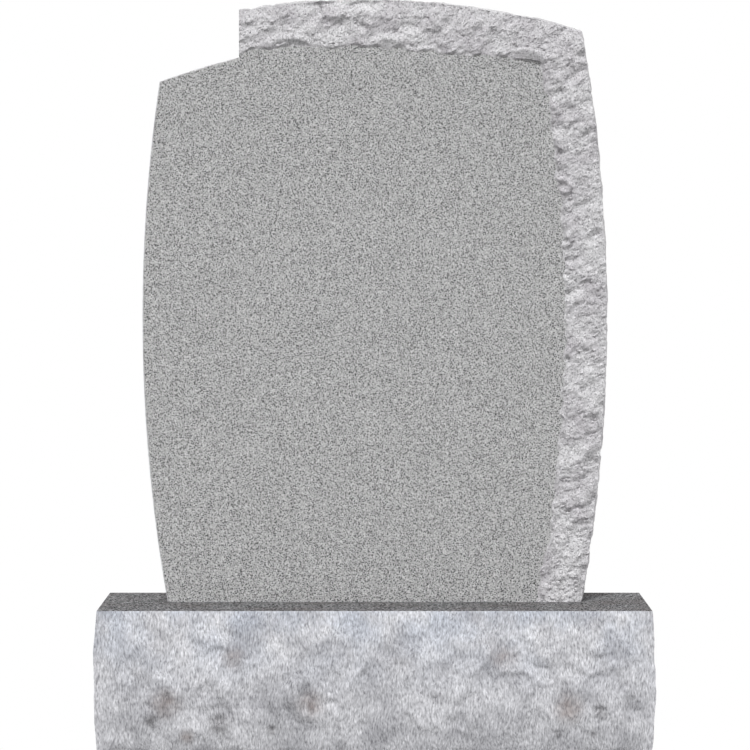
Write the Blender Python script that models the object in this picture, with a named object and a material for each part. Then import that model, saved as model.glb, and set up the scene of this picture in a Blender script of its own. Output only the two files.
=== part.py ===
"""Upright granite headstone: a barrel-sided tablet with a stepped shoulder, on a rock-pitched base.

Metres, +Z up. The inscription panel looks along -Y, and the origin is the middle of the base's underside.
"""

import math

import bmesh
import bpy
from mathutils import Vector, noise

# Base block, measured along its straight top and bottom edges
BASE_WIDTH = 0.815
BASE_DEPTH = 0.305
BASE_HEIGHT = 0.205
BASE_SWELL = 0.011
SWELL_FULLNESS = 0.75
BASE_CORNER = 0.045
CORNER_KEEPS = 0.35
BASE_SCALLOP = 0.062
BASE_TALL = 1.6
BASE_RELIEF = 0.007
END_KEEPS = 0.45

# Tablet outline, seen from the front: heights are above its foot
TABLET_WIDTH = 0.695
TABLET_HEIGHT = 0.9015
TABLET_THICKNESS = 0.102
FLANK_BULGE = 0.037
WIDEST_HEIGHT = 0.423
CROWN_RADIUS = 1.16
CROWN_OFFSET = -0.015
STEP_INSET = 0.145
STEP_RISE = 0.0705
SHOULDER_FALL = 0.036
ARRIS = 0.002

# Where the tablet stands on the base
REAR_MARGIN = 0.060
SEAT_GAP = 0.0003

# Smooth inscription panel, sunk behind the rock-pitched band along the crown and the right flank
STEP_LIP = 0.0105
SIDE_BAND = 0.0626
PANEL_CROWN_RADIUS = 2.1
PANEL_CROWN_OFFSET = -0.06
PANEL_FLANK_RADIUS = 2.06
PANEL_WANDER = 0.0025
WANDER_LENGTH = 0.07
WANDER_START = 156

# Rock-pitched band and edge of the tablet
PANEL_SINK = 0.0015
SINK_SHARE = 0.05
RELIEF_STARTS = 0.12
EDGE_FALL = 0.006
EDGE_FALL_STARTS = 0.7
EDGE_SWELL = 0.004
EDGE_PROUD = 0.0035
EDGE_ROUGHNESS = 0.35
EDGE_HOLLOW = 0.011
TABLET_SCALLOP = 0.034
TABLET_RELIEF = 0.0052
LEDGE_SPACING = 0.047
LEDGE_SHARE = 0.35

# Size of the flat facets that stand for broken stone, and of the steps along a dressed curve
FACET = 0.015
DRESSED_STEP = 0.032
SEAM_GAP = 0.00001
SHARP_ANGLE = math.radians(28)

# Broken stone: how its scallops and crumb are shaped, as shares of the scallop's size
SCALLOP_GAIN = 1.6
SCALLOP_MEAN = 0.32
SCALLOP_SLANT = 0.5
SCALLOP_BEND = 0.35
BEND_FINENESS = 1.7
BEND_OFFSETS = (11, 23, 37)
LEDGE_ANGLE = math.radians(33)
LEDGE_UNDERSIDE = 0.32
LEDGE_WARP = 0.9
LEDGE_RAG = 0.22
LEDGE_RAG_FINENESS = 3.0
LEDGE_FADE = 1.3
CRUMB_SHARE = 0.45
CRUMB_FINENESS = 2.0
CRUMB_OCTAVES = 2
CRUMB_ROUGHNESS = 0.9
OCTAVE_STEP = 2.0


def sagitta(offset, radius):
    """How far an arc has dropped from its highest point, this far along its tangent there."""
    return radius - math.sqrt(radius * radius - offset * offset)


def smooth_step(share):
    share = min(1.0, max(0.0, share))
    return share * share * (3 - 2 * share)


def bend(point):
    """A gentle push in three directions that keeps the scallops from looking like cells."""
    return Vector([noise.noise(point * BEND_FINENESS + Vector((apart, 0, 0))) for apart in BEND_OFFSETS])


def broken_stone(point, scallop):
    """Relief of split granite at a point, about -1 in a hollow to 1 on a ridge.

    A blow flakes off a shallow dish. Dishes meet in ridges, and the crumb of crystals lies over both.
    """
    slanted = Vector((point[0] + SCALLOP_SLANT * point[2], point[1], point[2] - SCALLOP_SLANT * point[0]))
    bent = slanted / scallop
    dish = noise.voronoi(bent + SCALLOP_BEND * bend(bent))[0][0] ** 2 - SCALLOP_MEAN
    crumb = noise.fractal(slanted * CRUMB_FINENESS / scallop, CRUMB_ROUGHNESS, OCTAVE_STEP, CRUMB_OCTAVES)
    return max(-1.0, min(1.0, dish * SCALLOP_GAIN + crumb * CRUMB_SHARE))


def ledges(point, spacing):
    """Relief of layers that broke away one under another, from -1 to 1.

    Each layer leans out on its way down to a lip, and steps back under it. The lips rise to the right.
    """
    across = point[2] * math.cos(LEDGE_ANGLE) - point[0] * math.sin(LEDGE_ANGLE)
    place = Vector(point) / spacing
    ragged = LEDGE_WARP * noise.noise(place) + LEDGE_RAG * noise.noise(place * LEDGE_RAG_FINENESS)
    phase = across / spacing + ragged
    share = phase - math.floor(phase)
    height = share / LEDGE_UNDERSIDE if share < LEDGE_UNDERSIDE else (1 - share) / (1 - LEDGE_UNDERSIDE)
    kept = smooth_step(0.5 + LEDGE_FADE * noise.noise(place * 0.5))
    return (height * 2 - 1) * kept


def band_relief(point):
    """Relief of the tablet's broken stone at a point, about -1 to 1."""
    layered = LEDGE_SHARE * ledges(point, LEDGE_SPACING)
    return layered + (1 - LEDGE_SHARE) * broken_stone(point, TABLET_SCALLOP)


# Tablet outline


def flank_radius():
    return (WIDEST_HEIGHT**2 + FLANK_BULGE**2) / (2 * FLANK_BULGE)


def flank(height):
    """Half the tablet's width at a height."""
    return TABLET_WIDTH / 2 - sagitta(height - WIDEST_HEIGHT, flank_radius())


def crown(x):
    return TABLET_HEIGHT - sagitta(x - CROWN_OFFSET, CROWN_RADIUS)


def step_x():
    return STEP_INSET - TABLET_WIDTH / 2


def step_foot():
    return crown(step_x()) - STEP_RISE


def panel_flank(height):
    """Where the panel's right edge is at a height."""
    return TABLET_WIDTH / 2 - SIDE_BAND - sagitta(height - WIDEST_HEIGHT, PANEL_FLANK_RADIUS)


def panel_crown(x):
    """The panel's top edge. It starts just above the foot of the step."""
    start = sagitta(step_x() - PANEL_CROWN_OFFSET, PANEL_CROWN_RADIUS)
    return step_foot() + STEP_LIP + start - sagitta(x - PANEL_CROWN_OFFSET, PANEL_CROWN_RADIUS)


def meeting_height(top, side):
    """Height at which a top edge meets a side edge."""
    height = top(0)
    for _ in range(30):
        height = top(side(height))
    return height


def arc_through(start, end, radius, steps):
    """Points on the upward-bulging arc of this radius from start to end, both (x, z)."""
    chord = Vector((end[0] - start[0], end[1] - start[1]))
    half = chord.length / 2
    middle = Vector(start) + chord / 2
    across = Vector((-chord.y, chord.x)).normalized()
    centre = middle - across * math.sqrt(radius * radius - half * half)
    first = math.atan2(start[1] - centre.y, start[0] - centre.x)
    last = math.atan2(end[1] - centre.y, end[0] - centre.x)
    angles = [first + (last - first) * k / steps for k in range(steps + 1)]
    return [(centre.x + radius * math.cos(a), centre.y + radius * math.sin(a)) for a in angles]


def dressed_outline():
    """The smooth edge, from the foot up the left flank and over the shoulder to the foot of the step."""
    corner_height = step_foot() - SHOULDER_FALL
    corner = (-flank(corner_height), corner_height)
    rise = max(2, round(corner_height / DRESSED_STEP))
    left = [(-flank(corner_height * k / rise), corner_height * k / rise) for k in range(rise)]
    run = max(2, round((step_x() - corner[0]) / DRESSED_STEP))
    return left + arc_through(corner, (step_x(), step_foot()), CROWN_RADIUS, run)


def rock_stations():
    """Stations along the rock-pitched edge, from the step over the crown and down the right flank.

    Each is (point on the panel's edge, point on the outline, outward direction), all in x and z.
    """
    outer_corner = meeting_height(crown, flank)
    inner_corner = meeting_height(panel_crown, panel_flank)
    across = flank(outer_corner) - step_x()
    crown_steps = round(across / FACET)
    flank_steps = round(outer_corner / FACET)
    stations = []
    for k in range(crown_steps):
        share = k / crown_steps
        outer_x = step_x() + across * share
        inner_x = step_x() + (panel_flank(inner_corner) - step_x()) * share
        outward = Vector((outer_x - CROWN_OFFSET, crown(outer_x) - TABLET_HEIGHT + CROWN_RADIUS))
        stations.append(((inner_x, panel_crown(inner_x)), (outer_x, crown(outer_x)), outward.normalized()))
    for k in range(flank_steps + 1):
        share = 1 - k / flank_steps
        height = outer_corner * share
        centre_x = TABLET_WIDTH / 2 - flank_radius()
        outward = Vector((flank(height) - centre_x, height - WIDEST_HEIGHT)).normalized()
        if k == 0:
            outward = (outward + stations[-1][2]).normalized()
        inner_height = inner_corner * share
        stations.append(((panel_flank(inner_height), inner_height), (flank(height), height), outward))
    return stations


# Modelling helpers


def wrapped_grid(model, place, columns, rows):
    """A grid primitive bent so that column i, row j lies at place(i, j). Returns its vertices by [i][j]."""
    made = bmesh.ops.create_grid(model, x_segments=columns, y_segments=rows, size=0.5)
    lattice = [[None] * (rows + 1) for _ in range(columns + 1)]
    for vertex in made["verts"]:
        i = round((vertex.co.x + 0.5) * columns)
        j = round((vertex.co.y + 0.5) * rows)
        lattice[i][j] = vertex
        vertex.co = place(i, j)
    return lattice


def finished_object(model, name, collection, material):
    bmesh.ops.recalc_face_normals(model, faces=model.faces)
    mesh = bpy.data.meshes.new(name)
    model.to_mesh(mesh)
    model.free()
    mesh.materials.append(material)
    mesh.shade_smooth()
    mesh.set_sharp_from_angle(angle=SHARP_ANGLE)
    made = bpy.data.objects.new(name, mesh)
    collection.objects.link(made)
    return made


def granite(name, colour, roughness):
    material = bpy.data.materials.new(name)
    material.use_nodes = True
    shader = material.node_tree.nodes["Principled BSDF"]
    shader.inputs["Base Color"].default_value = (*colour, 1)
    shader.inputs["Roughness"].default_value = roughness
    shader.inputs["Metallic"].default_value = 0
    return material


# Base


def base_perimeter():
    """Stations round the base's edge: (corner or side point, outward direction, distance to the corner)."""
    stations = []
    corners = [(-1, -1), (1, -1), (1, 1), (-1, 1)]
    for k, (sx, sy) in enumerate(corners):
        ex, ey = corners[(k + 1) % 4]
        start = Vector((sx * BASE_WIDTH / 2, sy * BASE_DEPTH / 2))
        side = Vector((ex * BASE_WIDTH / 2, ey * BASE_DEPTH / 2)) - start
        outward = Vector((side.y, -side.x)).normalized()
        steps = max(3, round(side.length / FACET))
        stations.append((start, Vector((sx, sy)), 0.0))
        for step in range(1, steps):
            along = side.length * step / steps
            stations.append((start + side * step / steps, outward, min(along, side.length - along)))
    return stations


def make_base(collection):
    """One block of granite: sawn top and bottom, and four rock-pitched sides that swell between them."""
    stations = base_perimeter()
    rows = round(BASE_HEIGHT / FACET)

    def place(i, j):
        edge, outward, to_corner = stations[i % len(stations)]
        share = j / rows
        height = BASE_HEIGHT * share
        swell = math.sin(math.pi * share) ** SWELL_FULLNESS
        kept = CORNER_KEEPS + (1 - CORNER_KEEPS) * smooth_step(to_corner / BASE_CORNER)
        boldness = END_KEEPS + (1 - END_KEEPS) * abs(outward.y)
        relief = BASE_RELIEF * broken_stone((edge.x, edge.y, height / BASE_TALL), BASE_SCALLOP)
        proud = swell * kept * boldness * (BASE_SWELL + relief)
        return (edge.x + outward.x * proud, edge.y + outward.y * proud, height)

    model = bmesh.new()
    belt = wrapped_grid(model, place, len(stations), rows)
    model.faces.new([column[0] for column in belt[:-1]])
    model.faces.new([column[-1] for column in belt[:-1]])
    bmesh.ops.remove_doubles(model, verts=model.verts, dist=SEAM_GAP)
    rock = granite("rock_pitched_granite", (0.50, 0.51, 0.54), 0.9)
    return finished_object(model, "base", collection, rock)


# Tablet


def band_depth(share, point):
    """How far behind the panel's plane the broken band is, this share of the way from panel to outline.

    The band stands proud of the panel, so this is below 0 until the band rounds off at the outline.
    """
    sink = PANEL_SINK * smooth_step(share / SINK_SHARE)
    fall = EDGE_FALL * smooth_step((share - EDGE_FALL_STARTS) / (1 - EDGE_FALL_STARTS))
    relief = TABLET_RELIEF * band_relief((point[0], 0, point[1]))
    return fall - sink - relief * smooth_step(share / RELIEF_STARTS)


def edge_inset(share, point, depth):
    """How far the broken edge lies inside the outline, this share of the way from front to back.

    The pitched line at the front stays nearly straight, and the stone is hollowed deepest between the faces.
    """
    stone = band_relief((point[0], depth, point[1]))
    middle = math.sin(math.pi * share)
    hollow = EDGE_HOLLOW * middle * max(0.0, -stone)
    return EDGE_SWELL * (1 - middle) - EDGE_PROUD - TABLET_RELIEF * EDGE_ROUGHNESS * stone + hollow


def panel_wander(x, height):
    """How far the panel's broken edge strays from its smooth line."""
    place = Vector((x, 0, height)) / WANDER_LENGTH + Vector((0, WANDER_START, 0))
    return PANEL_WANDER * noise.fractal(place, CRUMB_ROUGHNESS, OCTAVE_STEP, CRUMB_OCTAVES)


def make_tablet(collection):
    """One slab: front, back, left flank, shoulder and step are dressed, crown and right flank broken."""
    stations = rock_stations()
    dressed = dressed_outline()
    last = len(stations) - 1
    face_rows = max(3, round(SIDE_BAND / FACET) + 1)
    edge_rows = round(TABLET_THICKNESS / FACET)
    back = BASE_DEPTH / 2 - REAR_MARGIN
    front = back - TABLET_THICKNESS
    foot = BASE_HEIGHT + SEAT_GAP

    def broken_point(i, j):
        inner, outer, outward = stations[i]
        edge_share = max(0, j - face_rows) / edge_rows
        inset = edge_inset(edge_share, outer, TABLET_THICKNESS * edge_share)
        rim = Vector(outer) - outward * inset
        if j >= face_rows:
            arris_depth = band_depth(1, outer)
            return rim, arris_depth + (TABLET_THICKNESS - arris_depth) * edge_share
        share = j / face_rows
        start = Vector(inner) + (rim - Vector(inner)).normalized() * panel_wander(*inner)
        flat = start.lerp(rim, share)
        return flat, band_depth(share, flat) if j else 0.0

    def place(i, j):
        flat, depth = broken_point(i, j)
        x = step_x() if i == 0 else flat.x
        z = 0.0 if i == last else flat.y
        return (x, front + depth, foot + z)

    def dressed_place(i, j):
        x, z = dressed[i]
        return (x, back if j else front, foot + z)

    model = bmesh.new()
    ribbon = wrapped_grid(model, place, last, face_rows + edge_rows)
    strip = wrapped_grid(model, dressed_place, len(dressed) - 1, 1)
    model.faces.new([pair[0] for pair in strip] + [column[0] for column in ribbon])
    model.faces.new([pair[1] for pair in strip] + [column[-1] for column in ribbon])
    model.faces.new(strip[-1] + ribbon[0][::-1])
    model.faces.new(strip[0] + ribbon[-1][::-1])
    bmesh.ops.recalc_face_normals(model, faces=model.faces)
    arrises = [model.edges.get((a[side], b[side])) for a, b in zip(strip, strip[1:]) for side in (0, 1)]
    bmesh.ops.bevel(model, geom=arrises, offset=ARRIS, segments=1, affect="EDGES")
    return finished_object(model, "tablet", collection, granite("dressed_granite", (0.39, 0.39, 0.39), 0.45))


def main():
    for leftover in list(bpy.data.objects):
        bpy.data.objects.remove(leftover)
    headstone = bpy.data.collections.new("headstone")
    bpy.context.scene.collection.children.link(headstone)
    make_base(headstone)
    make_tablet(headstone)


main()
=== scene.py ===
# %% [markdown]
# # An upright granite headstone
# The real object is two blocks of grey granite. A barrel-sided tablet stands on a low, wide base.
# The mason sawed both from slabs, rubbed the tablet's panel flat with steel shot, and then broke
# the stone along the crown, the right flank and the base with a pitching chisel.
# The solids already give each stone its size and place. This file gives them their surfaces: it
# rebuilds both at the scale of the chisel's marks, and makes the granite itself from node patterns.

# %% Load both stones
import math

import bmesh
import bpy
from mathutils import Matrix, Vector, noise


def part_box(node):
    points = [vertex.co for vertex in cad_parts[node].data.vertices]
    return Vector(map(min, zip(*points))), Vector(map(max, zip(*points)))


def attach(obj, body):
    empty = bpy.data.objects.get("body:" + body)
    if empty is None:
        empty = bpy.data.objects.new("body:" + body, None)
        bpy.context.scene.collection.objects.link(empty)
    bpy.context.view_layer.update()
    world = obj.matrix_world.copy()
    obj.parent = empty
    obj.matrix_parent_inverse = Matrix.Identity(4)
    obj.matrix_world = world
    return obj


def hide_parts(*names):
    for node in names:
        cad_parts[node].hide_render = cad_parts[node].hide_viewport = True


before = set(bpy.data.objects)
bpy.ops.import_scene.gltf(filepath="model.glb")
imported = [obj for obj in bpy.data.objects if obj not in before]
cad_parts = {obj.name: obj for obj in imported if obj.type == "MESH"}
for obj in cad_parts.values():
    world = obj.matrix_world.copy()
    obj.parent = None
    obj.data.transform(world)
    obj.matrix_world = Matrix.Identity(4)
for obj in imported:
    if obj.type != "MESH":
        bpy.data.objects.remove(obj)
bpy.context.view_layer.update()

tablet_low, tablet_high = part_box("tablet")
base_low, base_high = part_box("base")

# %% [markdown]
# ## The camera
# A wide lens close by would make the base look deeper than it is. The photograph was taken from
# about 6 m away, level with the upper part of the tablet, so a long lens is used from there.
# Nothing is shifted: tilting the camera a little downward frames the stones from crown to ground.

# %% Camera
CAMERA_DISTANCE = 5.955
CAMERA_HEIGHT = 0.7605
AIM_HEIGHT = 0.5513
LENS_MM = 195.5
SIDE_STEP = 0.0007
SENSOR_MM = 36.0

BASE_DEPTH = 0.305
front_plane = -BASE_DEPTH / 2

camera = bpy.data.objects.new("camera", bpy.data.cameras.new("camera"))
camera.data.lens = LENS_MM
camera.data.sensor_width = SENSOR_MM
camera.location = (SIDE_STEP, front_plane - CAMERA_DISTANCE, CAMERA_HEIGHT)
sight = Vector((SIDE_STEP, front_plane, AIM_HEIGHT)) - camera.location
camera.rotation_euler = sight.to_track_quat("-Z", "Y").to_euler()
bpy.context.scene.collection.objects.link(camera)
bpy.context.scene.camera = camera
print("the frame is", round(CAMERA_DISTANCE * SENSOR_MM / LENS_MM, 3), "m wide at the base's front")

# %% [markdown]
# ## Colours and nodes
# A colour picked on a screen is an sRGB value, and the renderer counts light in linear values, so
# one function turns a hex colour into those. A material is a small graph, and one more function
# adds a node to it, with its settings and with what flows into it. Everything below uses these two.

# %% Helpers for colours and nodes
def linear(hex_colour):
    """A hex sRGB colour as linear red, green, blue and alpha."""
    shares = [int(hex_colour[k:k + 2], 16) / 255 for k in (1, 3, 5)]
    return tuple(s / 12.92 if s <= 0.04045 else ((s + 0.055) / 1.055) ** 2.4 for s in shares) + (1.0,)


def add_node(tree, kind, settings=(), links=()):
    """Adds a node. A setting names a socket, a property or a ramp's stops; a link feeds a socket."""
    node = tree.nodes.new(kind)
    for name, value in dict(settings).items():
        if name == "stops":
            for extra in value[2:]:
                node.color_ramp.elements.new(extra[0])
            for stop, (place, colour) in zip(node.color_ramp.elements, value):
                stop.position = place
                stop.color = colour
        elif name == "interpolation":
            node.color_ramp.interpolation = value
        elif isinstance(name, int) or name in node.inputs:
            node.inputs[name].default_value = value
        else:
            setattr(node, name, value)
    for name, source in dict(links).items():
        tree.links.new(source, node.inputs[name])
    return node


def new_material(name):
    """An empty material. Returns it with its node tree."""
    material = bpy.data.materials.new(name)
    material.use_nodes = True
    material.node_tree.nodes.clear()
    return material, material.node_tree


# %% [markdown]
# ## The studio
# Outdoors, an overcast sky lights a headstone from above and a little from everywhere. Here a white
# world does the second and a large soft lamp high in front does the first. Its height matters
# most: broken stone only reads as broken when the light rakes down across it. A low wide lamp at
# the camera's right fills the ledges' undersides, and three more light the ends and the back.
# The floor and the backdrop are one sheet, a bowl with a rounded foot, lit from behind until it is
# plain white, as product photographers use. It is kept from lighting the stone, because light from
# below would fill the shadows under each ledge.

# %% Floor, backdrop and lamps
WORLD_LIGHT = 0.22
STUDIO_RADIUS = 9.0
WALL_HEIGHT = 8.0
CORNER_RADIUS = 2.0
CORNER_STEPS = 16
STUDIO_SIDES = 96
WELD = 0.001

scene = bpy.context.scene
scene.view_settings.view_transform = "Standard"
world = bpy.data.worlds.new("white_sky")
world.use_nodes = True
world.node_tree.nodes["Background"].inputs["Color"].default_value = (1, 1, 1, 1)
world.node_tree.nodes["Background"].inputs["Strength"].default_value = WORLD_LIGHT
scene.world = world

sheet = bmesh.new()
profile = [sheet.verts.new((0, 0, 0))]
for k in range(CORNER_STEPS + 1):
    turn = math.pi / 2 * k / CORNER_STEPS
    radius = STUDIO_RADIUS - CORNER_RADIUS * (1 - math.sin(turn))
    profile.append(sheet.verts.new((radius, 0, CORNER_RADIUS * (1 - math.cos(turn)))))
profile.append(sheet.verts.new((STUDIO_RADIUS, 0, WALL_HEIGHT)))
bows = [sheet.edges.new(pair) for pair in zip(profile, profile[1:])]
bmesh.ops.spin(sheet, geom=profile + bows, axis=(0, 0, 1), steps=STUDIO_SIDES, angle=2 * math.pi,
               use_merge=True)
bmesh.ops.remove_doubles(sheet, verts=sheet.verts, dist=WELD)
bmesh.ops.recalc_face_normals(sheet, faces=sheet.faces)
sheet_mesh = bpy.data.meshes.new("studio_sheet")
sheet.to_mesh(sheet_mesh)
sheet.free()
sheet_mesh.shade_smooth()

backlit_sheet, tree = new_material("backlit_white_sheet")
glow = add_node(tree, "ShaderNodeEmission", {"Color": (1, 1, 1, 1), "Strength": 1.0})
add_node(tree, "ShaderNodeOutputMaterial", links={"Surface": glow.outputs["Emission"]})
sheet_mesh.materials.append(backlit_sheet)
studio_sheet = bpy.data.objects.new("studio_sheet", sheet_mesh)
studio_sheet.visible_diffuse = False
studio_sheet.visible_shadow = False
scene.collection.objects.link(studio_sheet)

# Each lamp: the direction it shines from, how wide it looks from the stone in degrees, its strength
LAMPS = {
    "key_lamp": ((-0.11, -0.60, 0.79), 14.0, 2.9),
    "front_lamp": ((0.40, -0.90, 0.27), 55.0, 0.84),
    "rear_lamp": ((0.30, 0.94, 0.16), 60.0, 1.7),
    "left_lamp": ((-0.88, 0.45, 0.16), 60.0, 1.25),
    "right_lamp": ((0.88, 0.45, 0.16), 60.0, 0.9),
}
for name, (shines_from, width, strength) in LAMPS.items():
    lamp = bpy.data.objects.new(name, bpy.data.lights.new(name, "SUN"))
    lamp.data.angle = math.radians(width)
    lamp.data.energy = strength
    lamp.rotation_euler = Vector(shines_from).to_track_quat("Z", "Y").to_euler()
    lamp.location = 4 * Vector(shines_from)
    scene.collection.objects.link(lamp)
print("studio has", len(LAMPS), "lamps")

# %% [markdown]
# ## How granite breaks
# A blow on the pitching chisel flakes off a shallow dish. Neighbouring dishes meet in ridges, and
# where the stone parts in layers there are ledges that lean out and step back underneath. This is
# the same relief as in the solids, from the same few sizes, so that form and surface agree.
# Noise alone looks like dunes. The dishes come from cells instead: the distance to the nearest
# cell's middle, squared, is a bowl with sharp rims.

# %% Dishes and ledges, as in the solids
SCALLOP_GAIN = 1.6
SCALLOP_MEAN = 0.32
SCALLOP_SLANT = 0.5
SCALLOP_BEND = 0.35
BEND_FINENESS = 1.7
BEND_OFFSETS = (11, 23, 37)
LEDGE_ANGLE = math.radians(33)
LEDGE_UNDERSIDE = 0.32
LEDGE_WARP = 0.9
LEDGE_RAG = 0.22
LEDGE_RAG_FINENESS = 3.0
LEDGE_FADE = 1.3
CRUMB_SHARE = 0.45
CRUMB_FINENESS = 2.0
CRUMB_OCTAVES = 2
CRUMB_ROUGHNESS = 0.9
OCTAVE_STEP = 2.0


def sagitta(offset, radius):
    """How far an arc has dropped from its highest point, this far along its tangent there."""
    return radius - math.sqrt(radius * radius - offset * offset)


def smooth_step(share):
    share = min(1.0, max(0.0, share))
    return share * share * (3 - 2 * share)


def bend(point):
    """A gentle push in three directions that keeps the scallops from looking like cells."""
    return Vector([noise.noise(point * BEND_FINENESS + Vector((apart, 0, 0))) for apart in BEND_OFFSETS])


def broken_stone(point, scallop):
    """Relief of split granite at a point, about -1 in a hollow to 1 on a ridge."""
    slanted = Vector((point[0] + SCALLOP_SLANT * point[2], point[1], point[2] - SCALLOP_SLANT * point[0]))
    bent = slanted / scallop
    dish = noise.voronoi(bent + SCALLOP_BEND * bend(bent))[0][0] ** 2 - SCALLOP_MEAN
    crumb = noise.fractal(slanted * CRUMB_FINENESS / scallop, CRUMB_ROUGHNESS, OCTAVE_STEP, CRUMB_OCTAVES)
    return max(-1.0, min(1.0, dish * SCALLOP_GAIN + crumb * CRUMB_SHARE))


def ledges(point, spacing):
    """Relief of layers that broke away one under another, from -1 to 1. Their lips rise to the right."""
    across = point[2] * math.cos(LEDGE_ANGLE) - point[0] * math.sin(LEDGE_ANGLE)
    place = Vector(point) / spacing
    ragged = LEDGE_WARP * noise.noise(place) + LEDGE_RAG * noise.noise(place * LEDGE_RAG_FINENESS)
    phase = across / spacing + ragged
    share = phase - math.floor(phase)
    height = share / LEDGE_UNDERSIDE if share < LEDGE_UNDERSIDE else (1 - share) / (1 - LEDGE_UNDERSIDE)
    kept = smooth_step(0.5 + LEDGE_FADE * noise.noise(place * 0.5))
    return (height * 2 - 1) * kept


print("a ledge leans out over", round((1 - LEDGE_UNDERSIDE) * 100), "% of its height")

# %% [markdown]
# ## Crystals
# Close up, broken granite is a crust of crystals, each split along its own plane. A cell pattern
# gives that too: every cell gets a small plane with a tilt of its own, and neighbours don't meet
# exactly, which leaves the tiny cliffs that glitter and cast shadow. Two sizes of them are laid
# over the dishes. They are geometry and not only bump, because they show in the outline.

# %% Crystal relief
CRYSTAL_BEND = 0.45


def crystals(point, size, stretch, angle):
    """Relief of tilted crystal facets, about -1 to 1. They are drawn out along an angle in the face."""
    along = point[0] * math.cos(angle) + point[2] * math.sin(angle)
    across = point[2] * math.cos(angle) - point[0] * math.sin(angle)
    laid = Vector((along / stretch, point[1], across)) / size
    laid += CRYSTAL_BEND * bend(laid)
    middle = noise.voronoi(laid)[1][0]
    tilt = noise.cell_vector(middle) * 2 - Vector((1, 1, 1))
    return tilt.dot(laid - middle)


# %% [markdown]
# ## The tablet's outline
# Seen from the front, each flank is one arc, the crown another, and the step at the left shoulder
# drops from one to the other. The flat panel has a crown and a right flank of its own inside the
# broken band. Arcs by radius keep the barrel shape true at any scale, so the outline is worked out
# from a dozen sizes and not from a list of points.

# %% Outline of the tablet
TABLET_WIDTH = 0.695
TABLET_HEIGHT = 0.9015
TABLET_THICKNESS = 0.102
FLANK_BULGE = 0.037
WIDEST_HEIGHT = 0.423
CROWN_RADIUS = 1.16
CROWN_OFFSET = -0.015
STEP_INSET = 0.145
STEP_RISE = 0.0705
SHOULDER_FALL = 0.036
STEP_LIP = 0.0105
SIDE_BAND = 0.0626
PANEL_CROWN_RADIUS = 2.1
PANEL_CROWN_OFFSET = -0.06
PANEL_FLANK_RADIUS = 2.06
FLANK_RADIUS = (WIDEST_HEIGHT**2 + FLANK_BULGE**2) / (2 * FLANK_BULGE)
STEP_X = STEP_INSET - TABLET_WIDTH / 2
MEETING_ROUNDS = 30


def flank(height):
    """Half the tablet's width at a height above its foot."""
    return TABLET_WIDTH / 2 - sagitta(height - WIDEST_HEIGHT, FLANK_RADIUS)


def crown(x):
    return TABLET_HEIGHT - sagitta(x - CROWN_OFFSET, CROWN_RADIUS)


STEP_FOOT = crown(STEP_X) - STEP_RISE


def panel_flank(height):
    """Where the panel's right edge is at a height."""
    return TABLET_WIDTH / 2 - SIDE_BAND - sagitta(height - WIDEST_HEIGHT, PANEL_FLANK_RADIUS)


def panel_crown(x):
    """The panel's top edge. It starts just above the foot of the step."""
    start = sagitta(STEP_X - PANEL_CROWN_OFFSET, PANEL_CROWN_RADIUS)
    return STEP_FOOT + STEP_LIP + start - sagitta(x - PANEL_CROWN_OFFSET, PANEL_CROWN_RADIUS)


def meeting_height(top, side):
    """Height at which a top edge meets a side edge."""
    height = top(0)
    for _ in range(MEETING_ROUNDS):
        height = top(side(height))
    return height


def arc_through(start, end, radius, steps):
    """Points on the upward-bulging arc of this radius from start to end, both (x, z)."""
    chord = Vector((end[0] - start[0], end[1] - start[1]))
    half = chord.length / 2
    middle = Vector(start) + chord / 2
    across = Vector((-chord.y, chord.x)).normalized()
    centre = middle - across * math.sqrt(radius * radius - half * half)
    first = math.atan2(start[1] - centre.y, start[0] - centre.x)
    last = math.atan2(end[1] - centre.y, end[0] - centre.x)
    angles = [first + (last - first) * k / steps for k in range(steps + 1)]
    return [(centre.x + radius * math.cos(a), centre.y + radius * math.sin(a)) for a in angles]


print("the step's foot is", round(STEP_FOOT, 4), "m above the tablet's foot")

# %% [markdown]
# ## Walking round the stone
# The dressed edge and the broken edge are walked separately. Along the dressed edge a point every
# few millimetres is enough. Along the broken one, each station pairs a point on the panel's edge
# with a point on the outline: a sheet of stone stretched between the two, and then on over the edge
# to the back, can carry all the relief without a hole anywhere.

# %% Stations along both edges
FINE = 0.0016
DRESSED_STEP = 0.010


def dressed_outline():
    """The smooth edge, from the foot up the left flank and over the shoulder to the foot of the step."""
    corner_height = STEP_FOOT - SHOULDER_FALL
    corner = (-flank(corner_height), corner_height)
    rise = round(corner_height / DRESSED_STEP)
    left = [(-flank(corner_height * k / rise), corner_height * k / rise) for k in range(rise)]
    run = round((STEP_X - corner[0]) / DRESSED_STEP)
    return left + arc_through(corner, (STEP_X, STEP_FOOT), CROWN_RADIUS, run)


def rock_stations():
    """Stations along the broken edge: (point on the panel's edge, point on the outline, outward)."""
    outer_corner = meeting_height(crown, flank)
    inner_corner = meeting_height(panel_crown, panel_flank)
    across = flank(outer_corner) - STEP_X
    crown_steps = round(across / FINE)
    flank_steps = round(outer_corner / FINE)
    stations = []
    for k in range(crown_steps):
        share = k / crown_steps
        outer_x = STEP_X + across * share
        inner_x = STEP_X + (panel_flank(inner_corner) - STEP_X) * share
        outward = Vector((outer_x - CROWN_OFFSET, crown(outer_x) - TABLET_HEIGHT + CROWN_RADIUS))
        stations.append(((inner_x, panel_crown(inner_x)), (outer_x, crown(outer_x)), outward.normalized()))
    for k in range(flank_steps + 1):
        share = 1 - k / flank_steps
        height = outer_corner * share
        outward = Vector((flank(height) - TABLET_WIDTH / 2 + FLANK_RADIUS, height - WIDEST_HEIGHT))
        outward.normalize()
        if k == 0:
            outward = (outward + stations[-1][2]).normalized()
        inner_height = inner_corner * share
        stations.append(((panel_flank(inner_height), inner_height), (flank(height), height), outward))
    return stations


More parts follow.
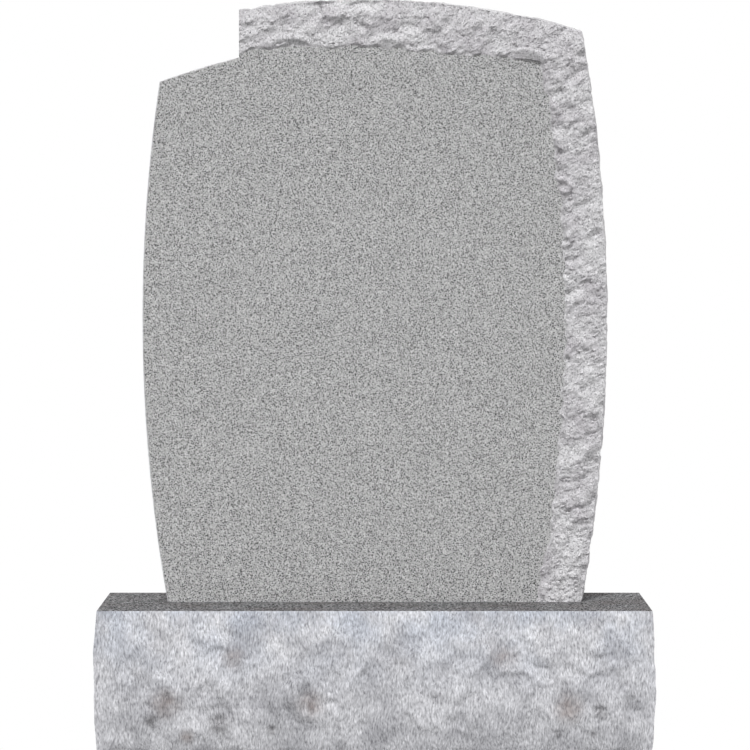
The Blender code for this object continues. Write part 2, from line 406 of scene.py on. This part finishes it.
stations = rock_stations()
dressed = dressed_outline()
print(len(stations), "stations along the broken edge,", len(dressed), "along the dressed edge")

# %% [markdown]
# ## The broken band
# The panel is sunk a little behind the broken stone, and its edge is chipped: in one place the
# stone stands up in a lip, in the next it slopes away, which keeps the edge from reading as a drawn
# line. Where the wheel that dressed the panel ran up into a high spot it left a smooth dish,
# steepest at its rim, which the light from above leaves in shade. The deeper hollows between the
# flakes give the band its light and dark. Dishes and hollows are placed one by one, where the
# photograph shows them, and the smaller relief is a matter of chance. Round the corner, the
# stone's edge is hollowed between its two arrises, because the chisel was struck from both.

# %% Relief of the tablet's broken band
PANEL_WANDER = 0.0025
WANDER_LENGTH = 0.07
WANDER_START = 156
EDGE_CHIPS = 0.0050
CHIP_LENGTH = 0.019
PANEL_SINK = 0.0015
SINK_SHARE = 0.05
RELIEF_STARTS = 0.12
EDGE_FALL = 0.006
EDGE_FALL_STARTS = 0.7
EDGE_SWELL = 0.004
EDGE_PROUD = 0.0035
EDGE_ROUGHNESS = 0.35
EDGE_HOLLOW = 0.011
TABLET_SCALLOP = 0.034
TABLET_RELIEF = 0.0052
LEDGE_SPACING = 0.047
LEDGE_SHARE = 0.35

COARSE_CRYSTAL = 0.0085
COARSE_CRYSTAL_RELIEF = 0.0013
FINE_CRYSTAL = 0.0040
FINE_CRYSTAL_RELIEF = 0.0016
CRYSTAL_STRETCH = 1.5
CRYSTAL_ANGLE = math.radians(24)
CRUMB_STARTS = 0.035
LIP = 0.0022
LIP_STARTS = 0.06
WALL_SPREAD = 7.0
LIP_SHARE = 0.32
LIP_LENGTH = 0.018
LIP_CHANCE = 0.4

# Each dish: its lowest point (x, height above the foot), half its length, half its width, its slope
DISHES = [
    ((-0.127, 0.824), 0.030, 0.018, math.radians(-2)),
    ((0.019, 0.826), 0.018, 0.017, math.radians(10)),
    ((0.279, 0.623), 0.013, 0.009, math.radians(6)),
    ((0.281, 0.541), 0.011, 0.008, math.radians(-4)),
]
DISH_RISE = 0.0066
DISH_CURVE = 1.6
DISH_MOUND = 0.0056
MOUND_REACH = 1.7
MOUND_SHARE = 0.20

# The one place where the wheel left a smooth slope with a steep foot, written the same way
NOSE = ((0.232, 0.8175), 0.020, 0.0090, math.radians(-17))
NOSE_FOOT = 0.0030
NOSE_TOP = 0.0085
NOSE_FLANK = 0.40

# Each hollow: its middle (x, height above the foot), half its length, half its width, its slope, its depth
HOLLOW_REACH = 1.5
HOLLOWS = [
    ((-0.088, 0.878), 0.034, 0.0075, math.radians(46), 0.0060),
    ((-0.047, 0.866), 0.012, 0.007, math.radians(20), 0.0030),
    ((-0.018, 0.860), 0.014, 0.006, math.radians(-30), 0.0030),
    ((0.003, 0.897), 0.013, 0.006, math.radians(60), 0.0035),
    ((0.046, 0.858), 0.018, 0.009, math.radians(25), 0.0045),
    ((0.108, 0.864), 0.026, 0.007, math.radians(42), 0.0045),
    ((0.162, 0.862), 0.020, 0.007, math.radians(48), 0.0045),
    ((0.203, 0.868), 0.016, 0.006, math.radians(20), 0.0030),
    ((0.283, 0.852), 0.022, 0.008, math.radians(28), 0.0045),
    ((0.300, 0.822), 0.018, 0.007, math.radians(-20), 0.0035),
    ((0.297, 0.787), 0.024, 0.008, math.radians(36), 0.0045),
    ((0.268, 0.760), 0.016, 0.007, math.radians(30), 0.0035),
    ((0.278, 0.709), 0.020, 0.010, math.radians(12), 0.0050),
    ((0.318, 0.702), 0.014, 0.006, math.radians(40), 0.0035),
    ((0.304, 0.590), 0.028, 0.007, math.radians(26), 0.0040),
    ((0.328, 0.546), 0.012, 0.008, math.radians(30), 0.0040),
    ((0.290, 0.511), 0.016, 0.005, math.radians(8), 0.0035),
    ((0.310, 0.477), 0.016, 0.011, math.radians(40), 0.0045),
    ((0.288, 0.462), 0.012, 0.007, math.radians(10), 0.0035),
]


def band_relief(point):
    """Relief of the tablet's broken stone at a point, about -1 to 1."""
    layered = LEDGE_SHARE * ledges(point, LEDGE_SPACING)
    return layered + (1 - LEDGE_SHARE) * broken_stone(point, TABLET_SCALLOP)


def crystal_relief(point):
    """Height of the crystals over the broken stone."""
    coarse = COARSE_CRYSTAL_RELIEF * crystals(point, COARSE_CRYSTAL, CRYSTAL_STRETCH, CRYSTAL_ANGLE)
    return coarse + FINE_CRYSTAL_RELIEF * crystals(point, FINE_CRYSTAL, CRYSTAL_STRETCH, CRYSTAL_ANGLE)


def reach(point, middle, half_length, half_width, slope):
    """How far a point is from the middle of an oval, 1 on its edge."""
    dx, dz = point[0] - middle[0], point[1] - middle[1]
    along = (dx * math.cos(slope) + dz * math.sin(slope)) / half_length
    across = (dz * math.cos(slope) - dx * math.sin(slope)) / half_width
    return math.hypot(along, across)


def hollowed(point, hollows):
    """How much deeper the stone is here because of the placed hollows."""
    return sum(depth * smooth_step(1 - reach(point, *oval) / HOLLOW_REACH) for *oval, depth in hollows)


def mound(point):
    """The high spot round each dish, which the wheel ran into."""
    near = min(reach(point, *oval) for oval in DISHES)
    return DISH_MOUND * smooth_step((MOUND_REACH - near) / (MOUND_REACH - 1))


def wheel_height(point, stone_height):
    """The height over the panel where the wheel passed: bowls in the high spots and one smooth nose."""
    near = min(reach(point, *oval) for oval in DISHES)
    (x, height), _, half_width, slope = NOSE
    across = (point[1] - height) * math.cos(slope) - (point[0] - x) * math.sin(slope)
    nose = NOSE_FOOT + (NOSE_TOP - NOSE_FOOT) * smooth_step(0.5 + 0.5 * across / half_width)
    smoothed = smooth_step((1 + NOSE_FLANK - reach(point, *NOSE)) / NOSE_FLANK)
    return min(stone_height + smoothed * (nose - stone_height), DISH_RISE * near ** DISH_CURVE)


def panel_wander(x, height):
    """How far the panel's broken edge strays from its smooth line."""
    place = Vector((x, 0, height))
    long_way = place / WANDER_LENGTH + Vector((0, WANDER_START, 0))
    wander = PANEL_WANDER * noise.fractal(long_way, CRUMB_ROUGHNESS, OCTAVE_STEP, CRUMB_OCTAVES)
    chips = noise.fractal(place / CHIP_LENGTH, CRUMB_ROUGHNESS, OCTAVE_STEP, CRUMB_OCTAVES)
    return wander + EDGE_CHIPS * chips


def band_depth(share, point):
    """How far behind the panel's plane the broken band is, this share of the way to the outline."""
    fall = EDGE_FALL * smooth_step((share - EDGE_FALL_STARTS) / (1 - EDGE_FALL_STARTS))
    place = (point[0], 0, point[1])
    broken = TABLET_RELIEF * band_relief(place) * smooth_step(share / RELIEF_STARTS)
    crumbs = crystal_relief(place) * smooth_step(share / CRUMB_STARTS)
    chance = noise.noise(Vector(place) / LIP_LENGTH)
    kept_lip = smooth_step(share / LIP_STARTS) * (1 - smooth_step(share / LIP_SHARE))
    wall = SINK_SHARE * (1 + WALL_SPREAD * max(0.0, -chance))
    raised = PANEL_SINK * smooth_step(share / wall) + LIP * max(0.0, LIP_CHANCE + chance) * kept_lip
    raised += mound(point) * smooth_step(share / MOUND_SHARE)
    return fall - wheel_height(point, raised + broken + crumbs - hollowed(point, HOLLOWS))


def edge_inset(share, point, depth):
    """How far the broken edge lies inside the outline, this share of the way from front to back."""
    place = (point[0], depth, point[1])
    stone = band_relief(place)
    middle = math.sin(math.pi * share)
    relief = EDGE_ROUGHNESS * (TABLET_RELIEF * stone + crystal_relief(place))
    hollow = EDGE_HOLLOW * middle * max(0.0, -stone)
    return EDGE_SWELL * (1 - middle) - EDGE_PROUD - relief + hollow


# %% [markdown]
# ## Building the tablet
# The sheet of broken stone is a lattice: one column per station, rows from the panel to the outline
# and on to the back. The dressed edge is a narrow strip. Four flat faces close the rest: panel,
# back, step and foot. Because the lattice's own edge points are used as their corners, the stone
# comes out as one closed skin. The dressed arrises are eased by a small bevel, as a mason rubs
# them, because a perfectly sharp edge catches no light.

# %% Tablet mesh
ARRIS = 0.0015
ARRIS_STEPS = 2
SHARP_ANGLE = math.radians(40)
FRONT = tablet_high.y - TABLET_THICKNESS
BACK = tablet_high.y
FOOT = tablet_low.z
EDGE_FINE = 0.0026
FACE_ROWS = round(SIDE_BAND / FINE)
EDGE_ROWS = round(TABLET_THICKNESS / EDGE_FINE)
ROCK, STEELED, SAWN, POLISHED = range(4)


def lattice_faces(columns, rows, first=0):
    """Four-sided faces between the points of a lattice stored column by column."""
    faces = []
    for i in range(columns - 1):
        for j in range(rows - 1):
            corner = first + i * rows + j
            faces.append((corner, corner + rows, corner + rows + 1, corner + 1))
    return faces


def broken_point(i, j):
    """Where the lattice's point is, in x and height, and how far behind the panel's plane."""
    inner, outer, outward = stations[i]
    edge_share = max(0, j - FACE_ROWS) / EDGE_ROWS
    rim = Vector(outer) - outward * edge_inset(edge_share, outer, TABLET_THICKNESS * edge_share)
    if j >= FACE_ROWS:
        arris_depth = band_depth(1, outer)
        return rim, arris_depth + (TABLET_THICKNESS - arris_depth) * edge_share
    share = j / FACE_ROWS
    start = Vector(inner) + (rim - Vector(inner)).normalized() * panel_wander(*inner)
    flat = start.lerp(rim, share)
    return flat, band_depth(share, flat) if j else 0.0


def tablet_points():
    """All points of the tablet: the broken lattice first, then the dressed strip."""
    points = []
    last = len(stations) - 1
    for i in range(last + 1):
        for j in range(FACE_ROWS + EDGE_ROWS + 1):
            flat, depth = broken_point(i, j)
            x = STEP_X if i == 0 else flat.x
            z = 0.0 if i == last else flat.y
            points.append((x, FRONT + depth, FOOT + z))
    for x, z in dressed:
        points += [(x, FRONT, FOOT + z), (x, BACK, FOOT + z)]
    return points


def tablet_faces():
    """Faces of the tablet with the finish of each."""
    columns, rows = len(stations), FACE_ROWS + EDGE_ROWS + 1
    strip = columns * rows
    steps = len(dressed)
    faces = [(face, ROCK) for face in lattice_faces(columns, rows)]
    faces += [(face, STEELED) for face in lattice_faces(steps, 2, strip)]
    front = [strip + 2 * k for k in range(steps)] + [i * rows for i in range(columns)]
    rear = [strip + 2 * k + 1 for k in range(steps)] + [i * rows + rows - 1 for i in range(columns)]
    step_wall = [strip + 2 * steps - 2, strip + 2 * steps - 1] + [j for j in range(rows)][::-1]
    foot = [strip, strip + 1] + [(columns - 1) * rows + j for j in range(rows)][::-1]
    return faces + [(front, STEELED), (rear, SAWN), (step_wall, STEELED), (foot, SAWN)]


def stone_object(name, points, faces):
    """One closed skin from points and (corners, finish) pairs, each face given its finish."""
    mesh = bpy.data.meshes.new(name)
    mesh.from_pydata(points, [], [face for face, _ in faces])
    mesh.polygons.foreach_set("material_index", [finish for _, finish in faces])
    mesh.validate()
    stone = bpy.data.objects.new(name, mesh)
    scene.collection.objects.link(stone)
    return stone


tablet = stone_object("granite_tablet", tablet_points(), tablet_faces())
print("tablet has", len(tablet.data.polygons), "faces")

# %% Skin the right way out, arrises eased, creases kept
def skin_of(stone):
    """The stone's mesh for editing, with every face looking outwards."""
    skin = bmesh.new()
    skin.from_mesh(stone.data)
    bmesh.ops.recalc_face_normals(skin, faces=skin.faces)
    return skin


def finish_skin(skin, stone):
    """Writes the skin back, smooth but for creases and the flat dressed faces."""
    skin.to_mesh(stone.data)
    skin.free()
    stone.data.shade_smooth()
    stone.data.set_sharp_from_angle(angle=SHARP_ANGLE)
    borders = {}
    for polygon in stone.data.polygons:
        for edge in polygon.edge_keys:
            borders.setdefault(edge, set()).add(polygon.material_index == ROCK)
    for edge in stone.data.edges:
        if len(borders[edge.key]) == 2:
            edge.use_edge_sharp = True


skin = skin_of(tablet)
skin.verts.ensure_lookup_table()
strip_start = len(stations) * (FACE_ROWS + EDGE_ROWS + 1)
arrises = []
for k in range(len(dressed) - 1):
    for side in (0, 1):
        ends = [skin.verts[strip_start + 2 * (k + step) + side] for step in (0, 1)]
        arrises.append(skin.edges.get(ends))
bmesh.ops.bevel(skin, geom=arrises, offset=ARRIS, segments=ARRIS_STEPS, profile=0.5, affect="EDGES")
finish_skin(skin, tablet)
print("tablet is", [round(size, 4) for size in tablet.dimensions], "m")

# %% [markdown]
# ## The base
# The base is a sawn block whose four sides were pitched: the chisel was held on the top and bottom
# lines and struck inwards, so both lines stay straight and the stone swells between them. Flakes
# came off downwards and left dishes taller than they are wide, so the same relief is used here
# with its heights drawn out. Shallow ledges that fall to the right give some of them a crisp
# edge. One lattice runs all the way round and closes on itself, and two flat faces cap it.

# %% Base mesh
BASE_WIDTH = 0.815
BASE_HEIGHT = 0.205
BASE_SWELL = 0.011
SWELL_FULLNESS = 0.75
BASE_CORNER = 0.045
CORNER_KEEPS = 0.35
BASE_SCALLOP = 0.062
BASE_TALL = 1.6
BASE_RELIEF = 0.007
END_KEEPS = 0.45
BASE_FINE = 0.0023
BASE_CRYSTAL = 0.012
BASE_CRYSTAL_RELIEF = 0.0014
UPRIGHT = math.radians(82)
BASE_STRETCH = 2.4
BASE_LEDGE_SPACING = 0.058
BASE_LEDGE_RELIEF = 0.0017

# Dents in the front, written like the hollows above
BASE_DENTS = [
    ((-0.227, 0.046), 0.012, 0.006, math.radians(10), 0.0045),
    ((-0.334, 0.066), 0.006, 0.005, math.radians(-50), 0.0034),
    ((-0.329, 0.033), 0.018, 0.004, math.radians(-60), 0.0034),
    ((-0.151, 0.032), 0.009, 0.004, math.radians(0), 0.0028),
    ((0.125, 0.024), 0.014, 0.004, math.radians(-35), 0.0028),
    ((0.268, 0.027), 0.010, 0.0035, math.radians(6), 0.0034),
    ((0.320, 0.023), 0.010, 0.004, math.radians(8), 0.0034),
    ((0.328, 0.060), 0.012, 0.005, math.radians(0), 0.0045),
]


def base_perimeter():
    """Stations round the base: (point on the straight edge, outward direction, distance to the corner)."""
    found = []
    corners = [(-1, -1), (1, -1), (1, 1), (-1, 1)]
    for k, (sx, sy) in enumerate(corners):
        ex, ey = corners[(k + 1) % 4]
        start = Vector((sx * BASE_WIDTH / 2, sy * BASE_DEPTH / 2))
        side = Vector((ex * BASE_WIDTH / 2, ey * BASE_DEPTH / 2)) - start
        outward = Vector((side.y, -side.x)).normalized()
        steps = round(side.length / BASE_FINE)
        found.append((start, Vector((sx, sy)), 0.0))
        for step in range(1, steps):
            along = side.length * step / steps
            found.append((start + side * step / steps, outward, min(along, side.length - along)))
    return found


def base_point(edge, outward, to_corner, share):
    """Where the pitched side is, this share of the way from the underside to the top."""
    height = BASE_HEIGHT * share
    swell = math.sin(math.pi * share) ** SWELL_FULLNESS
    kept = CORNER_KEEPS + (1 - CORNER_KEEPS) * smooth_step(to_corner / BASE_CORNER)
    boldness = END_KEEPS + (1 - END_KEEPS) * abs(outward.y)
    relief = BASE_RELIEF * broken_stone((edge.x, edge.y, height / BASE_TALL), BASE_SCALLOP)
    round_the_base = edge.x + edge.y
    relief += BASE_CRYSTAL_RELIEF * crystals((round_the_base, 0, height), BASE_CRYSTAL, BASE_STRETCH, UPRIGHT)
    relief += BASE_LEDGE_RELIEF * ledges((-round_the_base, 0, height), BASE_LEDGE_SPACING)
    if outward.y < 0:
        relief -= hollowed((edge.x, height), BASE_DENTS)
    proud = swell * kept * boldness * (BASE_SWELL + relief)
    return (edge.x + outward.x * proud, edge.y + outward.y * proud, height)


perimeter = base_perimeter()
base_rows = round(BASE_HEIGHT / BASE_FINE)
rows = base_rows + 1
points = [base_point(*place, j / base_rows) for place in perimeter for j in range(rows)]
count = len(perimeter)
faces = [(face, ROCK) for face in lattice_faces(count, rows)]
last = (count - 1) * rows
faces += [((last + j, j, j + 1, last + j + 1), ROCK) for j in range(base_rows)]
faces += [([i * rows for i in range(count)], SAWN), ([i * rows + base_rows for i in range(count)], POLISHED)]
base = stone_object("granite_base", points, faces)
finish_skin(skin_of(base), base)
print("base has", len(base.data.polygons), "faces and is", [round(size, 4) for size in base.dimensions], "m")

# %% [markdown]
# ## Granite
# This fine-grained granite is a packing of crystals one or two millimetres across: pale feldspar,
# glassy grey quartz and black mica. Each finish shows the same crystals differently. Steel shot leaves the
# panel matt and mid grey. Polish darkens the base's top a little, because light goes into it instead of
# scattering, and painted shade darkens its colour further. A break is palest of all, because every crystal is
# cracked white.
# A cell pattern gives the crystals: each cell has one random number, and a ramp with hard steps
# says which mineral that number is. A second, sparser pattern drops in the black mica.
# The base's front carries a few marks of age as well: iron has leached out in brown patches.
# The dents are darkened with painted shade, which stands in for the shadow inside them. Both are
# soft spots where the photograph shows them. Depth counts little in their distance, so that a spot
# isn't cut off by the swell of the stone.

# %% Crystals in a material
MICA_SPACING = 2.4
FRONT_FACE = -BASE_DEPTH / 2 - BASE_SWELL
STAIN_AND_SHADE_THIN = 0.3
STAIN_AND_SHADE_GAIN = 1.2


def per_metre(size_mm):
    """The pattern scale that gives cells of this size."""
    return 1000 / size_mm


def granite_crystals(tree, crystal_mm, minerals, mica_hex, mica_share):
    """Crystals of the given minerals, (share, hex) in order. Returns the colour and a height."""
    place = add_node(tree, "ShaderNodeTexCoord").outputs["Object"]
    cells = add_node(tree, "ShaderNodeTexVoronoi", {"Scale": per_metre(crystal_mm)}, {"Vector": place})
    number = add_node(tree, "ShaderNodeSeparateColor", links={"Color": cells.outputs["Color"]})
    stops = []
    reached = 0.0
    for share, hex_colour in minerals:
        stops.append((reached, linear(hex_colour)))
        reached += share
    ramp = add_node(tree, "ShaderNodeValToRGB", {"stops": stops, "interpolation": "CONSTANT"},
                    {"Fac": number.outputs["Red"]})
    flakes = add_node(tree, "ShaderNodeTexVoronoi", {"Scale": per_metre(crystal_mm * MICA_SPACING)},
                      {"Vector": place})
    is_flake = add_node(tree, "ShaderNodeMath", {"operation": "LESS_THAN", 1: mica_share},
                        {0: flakes.outputs["Distance"]})
    colour = add_node(tree, "ShaderNodeMix", {"data_type": "RGBA", 7: linear(mica_hex)},
                      {0: is_flake.outputs["Value"], 6: ramp.outputs["Color"]})
    return colour.outputs[2], number.outputs["Green"]


def tinted(tree, colour, tint_hex, where):
    """Multiplies a tint into a colour where the given value is above 0."""
    mixed = add_node(tree, "ShaderNodeMix",
                     {"data_type": "RGBA", "blend_type": "MULTIPLY", 7: linear(tint_hex)},
                     {0: where, 6: colour})
    return mixed.outputs[2]


def clouds(tree, size_mm, low, high, most, seed=0.0):
    """Soft patches of about this size: 0 where the noise is below low, most where it is above high."""
    place = add_node(tree, "ShaderNodeTexCoord").outputs["Object"]
    moved = add_node(tree, "ShaderNodeMapping", {"Location": (seed, seed, seed)}, {"Vector": place})
    cloud = add_node(tree, "ShaderNodeTexNoise", {"Scale": per_metre(size_mm), "Detail": 3.0},
                     {"Vector": moved.outputs["Vector"]})
    where = add_node(tree, "ShaderNodeMapRange", {"From Min": low, "From Max": high, "To Max": most},
                     {"Value": cloud.outputs["Fac"]})
    return where.outputs["Result"]


def near_height(tree, where, low, high):
    """Fades a value with the height: all of it at high and none at low, whichever is above."""
    place = add_node(tree, "ShaderNodeTexCoord").outputs["Object"]
    parted = add_node(tree, "ShaderNodeSeparateXYZ", links={"Vector": place})
    up = add_node(tree, "ShaderNodeMapRange", {"From Min": low, "From Max": high},
                  {"Value": parted.outputs["Z"]})
    kept = add_node(tree, "ShaderNodeMath", {"operation": "MULTIPLY"}, {0: up.outputs["Result"], 1: where})
    return kept.outputs["Value"]


def stains_and_shade(tree, spots, ragged_mm):
    """Soft ragged marks on the front, stains and painted shade, ((x, z), radius) each: strongest in the
    middle.
    """
    place = add_node(tree, "ShaderNodeTexCoord").outputs["Object"]
    ragged = add_node(tree, "ShaderNodeTexNoise", {"Scale": per_metre(ragged_mm)}, {"Vector": place})
    thinned = add_node(tree, "ShaderNodeVectorMath", {"operation": "MULTIPLY", 1: (1, STAIN_AND_SHADE_THIN, 1)},
                       {0: place})
    found = None
    for (x, z), radius in spots:
        away = add_node(tree, "ShaderNodeVectorMath",
                        {"operation": "DISTANCE", 1: (x, STAIN_AND_SHADE_THIN * FRONT_FACE, z)},
                        {0: thinned.outputs["Vector"]})
        near = add_node(tree, "ShaderNodeMapRange", {"interpolation_type": "SMOOTHSTEP", "From Min": radius,
                        "From Max": 0.0, "To Max": STAIN_AND_SHADE_GAIN}, {"Value": away.outputs["Value"]})
        part = add_node(tree, "ShaderNodeMath", {"operation": "MULTIPLY"},
                        {0: near.outputs["Result"], 1: ragged.outputs["Fac"]}).outputs["Value"]
        found = part if found is None else add_node(tree, "ShaderNodeMath", {"operation": "MAXIMUM"},
                                                    {0: found, 1: part}).outputs["Value"]
    return found


def stone_shader(tree, colour, height, bump_mm, settings):
    """Ends a granite: its colour and a bump this deep go into one shader."""
    bump = add_node(tree, "ShaderNodeBump", {"Strength": 1.0, "Distance": bump_mm / 1000},
                    {"Height": height})
    shader = add_node(tree, "ShaderNodeBsdfPrincipled", settings,
                      {"Base Color": colour, "Normal": bump.outputs["Normal"]})
    add_node(tree, "ShaderNodeOutputMaterial", links={"Surface": shader.outputs["BSDF"]})


GRANITE_IOR = 1.54

# %% Steeled granite: matt and flat, every crystal a clean small tile
# The shot leaves the panel even, so the grain shows as salt and pepper and nothing shines.
steeled_granite, tree = new_material("steeled_granite")
colour, height = granite_crystals(tree, 1.2, [(0.30, "#989898"), (0.34, "#b0b0b0"), (0.20, "#cacaca"),
                                              (0.16, "#777777")], "#040404", 0.31)
stone_shader(tree, colour, height, 0.05, {"Roughness": 0.62, "IOR": GRANITE_IOR, "Specular IOR Level": 0.35})

# %% Sawn granite: the back and the foot, duller
# The saw scratches every crystal alike, so the grain has less contrast than on the panel.
sawn_granite, tree = new_material("sawn_granite")
colour, height = granite_crystals(tree, 2.1, [(0.30, "#a6a6a6"), (0.36, "#b2b2b2"), (0.20, "#bebebe"),
                                              (0.14, "#949494")], "#6a6a6a", 0.24)
stone_shader(tree, colour, height, 0.12, {"Roughness": 0.8, "IOR": GRANITE_IOR, "Specular IOR Level": 0.3})

# %% Polished granite: the base's top, a little dark from the polish and darker with painted shade
# The full contrast of the grain comes out. The sheen is left off: seen this flat, it would mirror
# the white sheet and turn the top pale, which the photograph doesn't show.
shaded_polished_granite, tree = new_material("shaded_polished_granite")
# Painted shade: these mineral shades are darker than the polish alone would make them.
colour, height = granite_crystals(tree, 2.2, [(0.30, "#616162"), (0.34, "#7e7e7f"), (0.24, "#a3a3a5"),
                                              (0.12, "#2c2c2d")], "#020202", 0.34)
colour = tinted(tree, colour, "#d8ccc8", clouds(tree, 60, 0.45, 0.7, 0.5))
stone_shader(tree, colour, height, 0.01, {"Roughness": 0.5, "IOR": GRANITE_IOR, "Specular IOR Level": 0.0})

# %% Pitched granite on the tablet: cracked crystals, pale
# Every crystal is split, so the stone is palest here, and its deep bump breaks up the light.
pitched_granite, tree = new_material("pitched_granite_tablet")
colour, height = granite_crystals(tree, 1.8, [(0.36, "#c4c3c5"), (0.34, "#d0cfd1"), (0.18, "#dfdee0"),
                                              (0.12, "#a09fa1")], "#a2a1a3", 0.22)
colour = tinted(tree, colour, "#d6d2d6", clouds(tree, 45, 0.42, 0.68, 0.6))
stone_shader(tree, colour, height, 0.7, {"Roughness": 0.85, "IOR": GRANITE_IOR, "Specular IOR Level": 0.3})

# %% Pitched granite on the base: combed upright, stained by iron in places, with painted sky reflection at the top and painted shade in the dents and at the foot
# The strokes ran downwards and drew the split crystals out into upright threads.
COMB_BEND_MM = 55
COMB_BEND = 0.012
# Painted shade darkens these dents, ((x, z), radius) each. The iron spots after them are real stains.
DENT_SHADE_SPOTS = [((-0.226, 0.040), 0.027), ((-0.328, 0.045), 0.017),
               ((0.331, 0.057), 0.017), ((0.270, 0.024), 0.009),
               ((0.321, 0.023), 0.008), ((-0.150, 0.030), 0.013)]
IRON_SPOTS = [((-0.306, 0.070), 0.034), ((-0.094, 0.068), 0.031),
              ((0.284, 0.063), 0.034), ((0.189, 0.140), 0.031),
              ((-0.206, 0.138), 0.027), ((-0.275, 0.020), 0.017)]


def combed_crystals(tree, crystal_mm, stretch, shades):
    """Crystals drawn out upright by the chisel, in soft shades. Returns the colour and a height."""
    place = add_node(tree, "ShaderNodeTexCoord").outputs["Object"]
    sway = add_node(tree, "ShaderNodeTexNoise", {"Scale": per_metre(COMB_BEND_MM)}, {"Vector": place})
    swayed = add_node(tree, "ShaderNodeVectorMath",
                      {"operation": "MULTIPLY_ADD", 1: (COMB_BEND, COMB_BEND, 0)},
                      {0: sway.outputs["Color"], 2: place})
    laid = add_node(tree, "ShaderNodeMapping", {"Scale": (1, 1, 1 / stretch)},
                    {"Vector": swayed.outputs["Vector"]})
    hair = add_node(tree, "ShaderNodeTexNoise",
                    {"Scale": per_metre(crystal_mm), "Detail": 1.5, "Roughness": 0.6},
                    {"Vector": laid.outputs["Vector"]})
    ramp = add_node(tree, "ShaderNodeValToRGB",
                    {"stops": [(share, linear(shade)) for share, shade in shades], "interpolation": "LINEAR"},
                    {"Fac": hair.outputs["Fac"]})
    return ramp.outputs["Color"], hair.outputs["Fac"]


pitched_base_granite, tree = new_material("pitched_granite_base")
colour, height = combed_crystals(tree, 2.2, 3.4, [(0.28, "#919195"), (0.46, "#c0c0c4"), (0.58, "#d1d1d5"),
                                                  (0.74, "#ededf1")])
colour = tinted(tree, colour, "#cdcdcf", clouds(tree, 48, 0.42, 0.66, 0.7))
# Painted reflection: a pale blue tint over the upper front stands in for the sky reflected there.
painted_sky_reflection = near_height(tree, clouds(tree, 60, 0.36, 0.62, 0.5, 3.0), 0.08, 0.20)
colour = tinted(tree, colour, "#dde8f6", painted_sky_reflection)
# Painted shade: a patchy grey tint darkens the front towards the foot.
painted_foot_shade = near_height(tree, clouds(tree, 110, 0.36, 0.60, 0.12, 5.0), 0.13, 0.03)
colour = tinted(tree, colour, "#bcbcbe", painted_foot_shade)
colour = tinted(tree, colour, "#b1a29a", stains_and_shade(tree, IRON_SPOTS, 13))
# Painted shade: a dark tint in the dents stands in for the shadow inside them.
colour = tinted(tree, colour, "#7c7978", stains_and_shade(tree, DENT_SHADE_SPOTS, 6))
stone_shader(tree, colour, height, 0.5, {"Roughness": 0.85, "IOR": GRANITE_IOR, "Specular IOR Level": 0.3})

# %% Each finish on its faces
for stone, rock in ((tablet, pitched_granite), (base, pitched_base_granite)):
    for finish in (rock, steeled_granite, sawn_granite, shaded_polished_granite):
        stone.data.materials.append(finish)

# %% [markdown]
# ## Handing over
# Each stone stands for its solid and rides on the same body, because neither moves on the other.

# %% Ride and replace
for stone, node in ((tablet, "tablet"), (base, "base")):
    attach(stone, "root")
    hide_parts(node)
